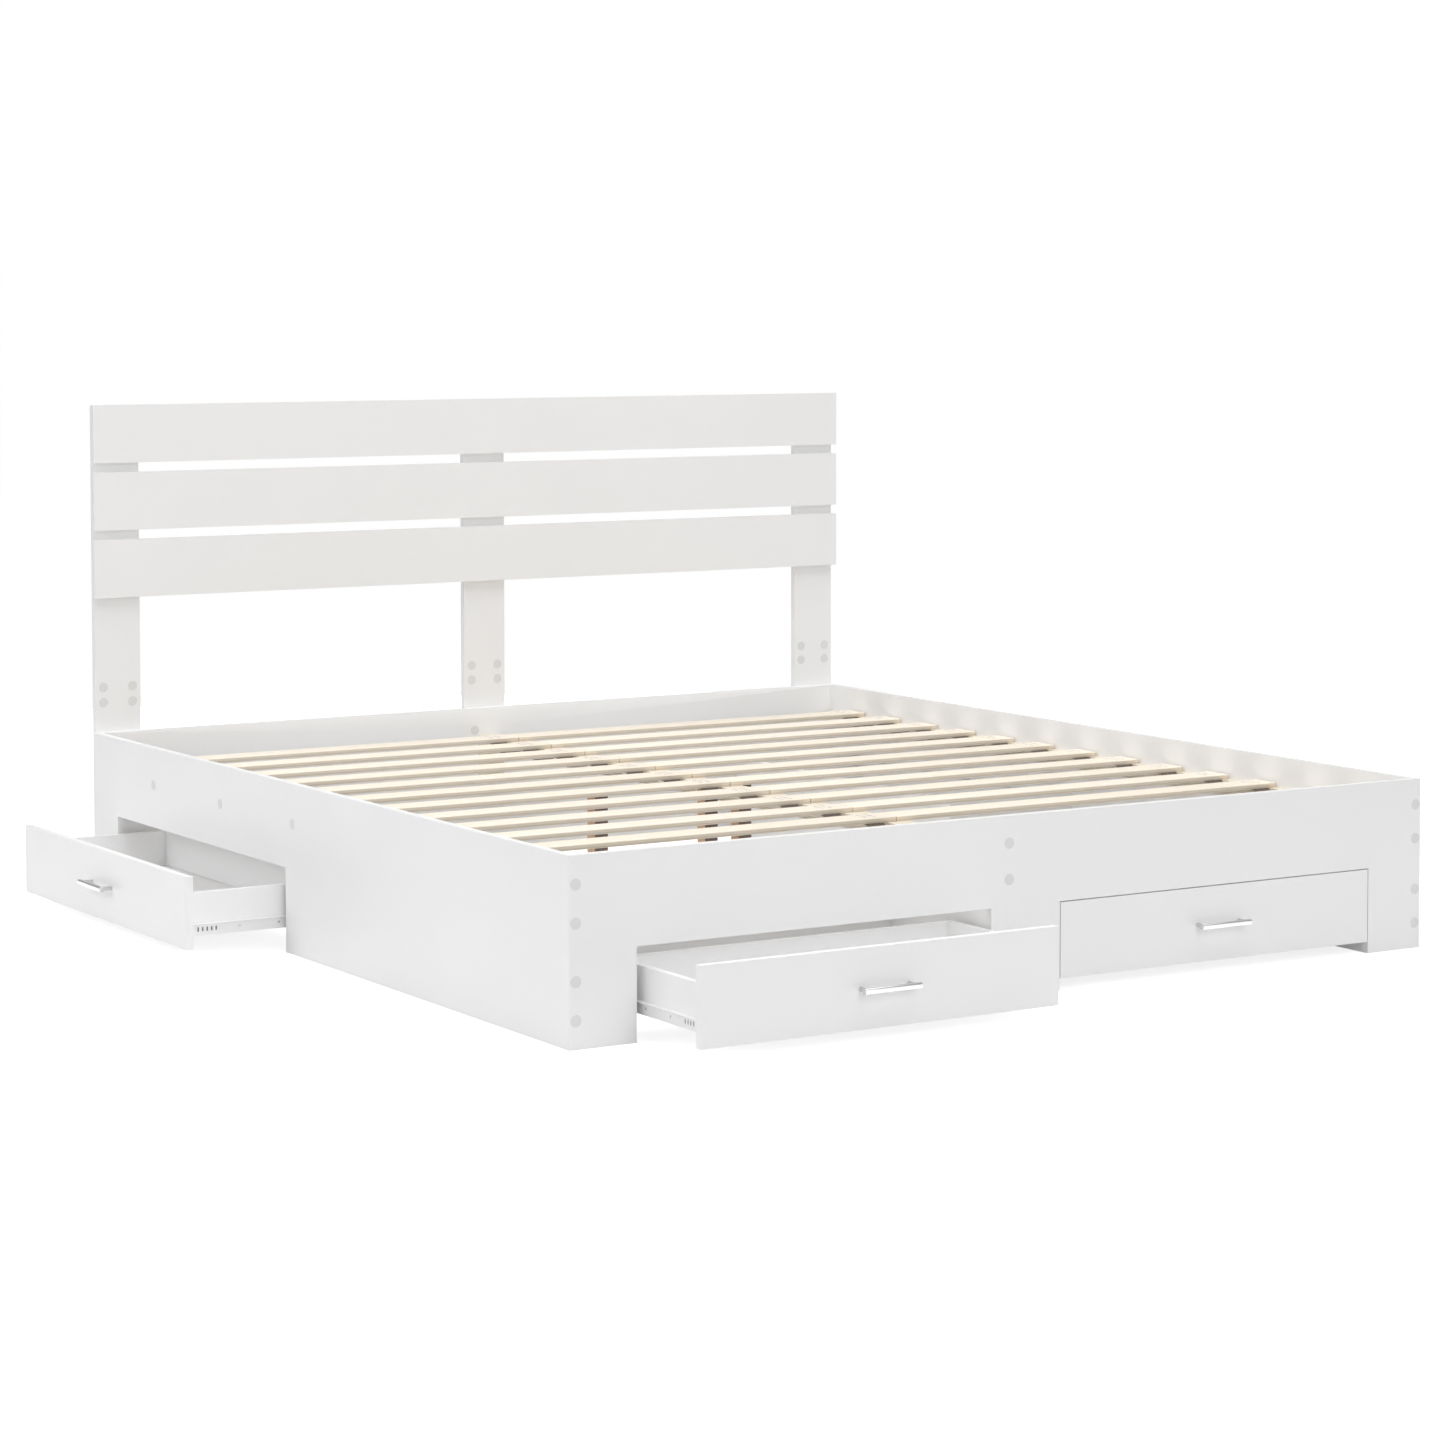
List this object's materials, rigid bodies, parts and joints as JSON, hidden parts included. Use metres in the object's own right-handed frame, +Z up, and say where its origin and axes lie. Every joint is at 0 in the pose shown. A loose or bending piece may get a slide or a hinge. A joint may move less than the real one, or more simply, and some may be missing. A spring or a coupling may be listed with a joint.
{
  "type": "platform bed with storage drawers",
  "caption": "White board platform bed frame with a planked headboard, a slatted base and under-bed storage drawers at the foot and sides.",
  "frame": {"origin": "on the floor under the middle of the foot panel's centre leg, on the bed's centre line", "axes": "+Y from foot to head, +X to the right seen from the foot, +Z up"},
  "size_m": [2.086, 2.273, 1],
  "materials": {
    "white_board": "white melamine-faced board, satin",
    "slat_wood": "bare laminated birch, smooth",
    "pine": "bare sawn softwood",
    "pale_pine": "bare planed softwood, pale",
    "webbing": "flat woven webbing",
    "runner_steel": "white powder coat",
    "nylon": "moulded nylon",
    "handle_metal": "brushed satin",
    "drawer_bottom": "thin white-faced fibreboard",
    "screw_steel": "zinc plated",
    "cap_plastic": "stick-on film"
  },
  "bodies": {
    "bed_frame": {"beam_cleat": "pine", "beam_shoes": "pale_pine", "bottom_plank": "white_board", "centre_beam": "pale_pine", "centre_post": "white_board", "foot_back_board": "white_board", "foot_left_frame_runners": "runner_steel", "foot_panel": "white_board", "foot_right_frame_runners": "runner_steel", "foot_runner_boards": "white_board", "frame_screws": "screw_steel", "head_panel": "white_board", "left_back_board": "white_board", "left_frame_runners": "runner_steel", "left_post": "white_board", "left_runner_boards": "white_board", "left_side_panel": "white_board", "left_slats": "slat_wood", "middle_plank": "white_board", "post_screws": "screw_steel", "right_back_board": "white_board", "right_frame_runners": "runner_steel", "right_post": "white_board", "right_runner_boards": "white_board", "right_side_panel": "white_board", "right_slats": "slat_wood", "screw_caps": "cap_plastic", "slat_rails": "pale_pine", "slat_straps": "webbing", "support_legs": "pine", "top_plank": "white_board"},
    "foot_left_drawer": {"foot_left_bottom": "drawer_bottom", "foot_left_box": "white_board", "foot_left_drawer_runners": "runner_steel", "foot_left_front": "white_board", "foot_left_handle": "handle_metal"},
    "foot_left_drawer_rollers": {"foot_left_drawer_rollers": "nylon"},
    "foot_left_frame_rollers": {"foot_left_frame_rollers": "nylon"},
    "foot_right_drawer": {"foot_right_bottom": "drawer_bottom", "foot_right_box": "white_board", "foot_right_drawer_runners": "runner_steel", "foot_right_front": "white_board", "foot_right_handle": "handle_metal"},
    "foot_right_drawer_rollers": {"foot_right_drawer_rollers": "nylon"},
    "foot_right_frame_rollers": {"foot_right_frame_rollers": "nylon"},
    "left_drawer": {"left_bottom": "drawer_bottom", "left_box": "white_board", "left_drawer_runners": "runner_steel", "left_front": "white_board", "left_handle": "handle_metal"},
    "left_drawer_rollers": {"left_drawer_rollers": "nylon"},
    "left_frame_rollers": {"left_frame_rollers": "nylon"},
    "right_drawer": {"right_bottom": "drawer_bottom", "right_box": "white_board", "right_drawer_runners": "runner_steel", "right_front": "white_board", "right_handle": "handle_metal"},
    "right_drawer_rollers": {"right_drawer_rollers": "nylon"},
    "right_frame_rollers": {"right_frame_rollers": "nylon"}
  },
  "joints": [
    {"name": "foot_left_slide", "type": "slide", "parent": "bed_frame", "child": "foot_left_drawer", "axis": [0, -1, 0], "range_m": [-0.2, 0.04]},
    {"name": "foot_left_drawer_rollers_spin", "type": "hinge", "parent": "foot_left_drawer", "child": "foot_left_drawer_rollers", "pos_m": [-0.431, 0.0875, 0.0503], "axis": [1, 0, 0], "range_deg": [-1279, 260]},
    {"name": "foot_left_frame_rollers_spin", "type": "hinge", "parent": "bed_frame", "child": "foot_left_frame_rollers", "pos_m": [-0.431, 0.0215, 0.0577], "axis": [1, 0, 0], "range_deg": [-1279, 260]},
    {"name": "foot_right_slide", "type": "slide", "parent": "bed_frame", "child": "foot_right_drawer", "axis": [0, -1, 0], "range_m": [0, 0.24]},
    {"name": "foot_right_drawer_rollers_spin", "type": "hinge", "parent": "foot_right_drawer", "child": "foot_right_drawer_rollers", "pos_m": [0.431, 0.2875, 0.0503], "axis": [1, 0, 0], "range_deg": [0, 1533]},
    {"name": "foot_right_frame_rollers_spin", "type": "hinge", "parent": "bed_frame", "child": "foot_right_frame_rollers", "pos_m": [0.431, 0.0215, 0.0577], "axis": [1, 0, 0], "range_deg": [0, 1533]},
    {"name": "left_slide", "type": "slide", "parent": "bed_frame", "child": "left_drawer", "axis": [-1, 0, 0], "range_m": [-0.2, 0.04]},
    {"name": "left_drawer_rollers_spin", "type": "hinge", "parent": "left_drawer", "child": "left_drawer_rollers", "pos_m": [-0.82, 1.489, 0.0503], "axis": [0, -1, 0], "range_deg": [-1279, 260]},
    {"name": "left_frame_rollers_spin", "type": "hinge", "parent": "bed_frame", "child": "left_frame_rollers", "pos_m": [-0.886, 1.489, 0.0577], "axis": [0, -1, 0], "range_deg": [-1279, 260]},
    {"name": "right_slide", "type": "slide", "parent": "bed_frame", "child": "right_drawer", "axis": [1, 0, 0], "range_m": [0, 0.24]},
    {"name": "right_drawer_rollers_spin", "type": "hinge", "parent": "right_drawer", "child": "right_drawer_rollers", "pos_m": [0.62, 1.489, 0.0503], "axis": [0, 1, 0], "range_deg": [0, 1533]},
    {"name": "right_frame_rollers_spin", "type": "hinge", "parent": "bed_frame", "child": "right_frame_rollers", "pos_m": [0.886, 1.489, 0.0577], "axis": [0, 1, 0], "range_deg": [0, 1533]}
  ],
  "couplings": [
    {"joint": "foot_left_drawer_rollers_spin", "follows": "foot_left_slide", "rad_per_m": 111.11},
    {"joint": "foot_left_frame_rollers_spin", "follows": "foot_left_slide", "rad_per_m": 111.11},
    {"joint": "foot_right_drawer_rollers_spin", "follows": "foot_right_slide", "rad_per_m": 111.11},
    {"joint": "foot_right_frame_rollers_spin", "follows": "foot_right_slide", "rad_per_m": 111.11},
    {"joint": "left_drawer_rollers_spin", "follows": "left_slide", "rad_per_m": 111.11},
    {"joint": "left_frame_rollers_spin", "follows": "left_slide", "rad_per_m": 111.11},
    {"joint": "right_drawer_rollers_spin", "follows": "right_slide", "rad_per_m": 111.11},
    {"joint": "right_frame_rollers_spin", "follows": "right_slide", "rad_per_m": 111.11}
  ]
}
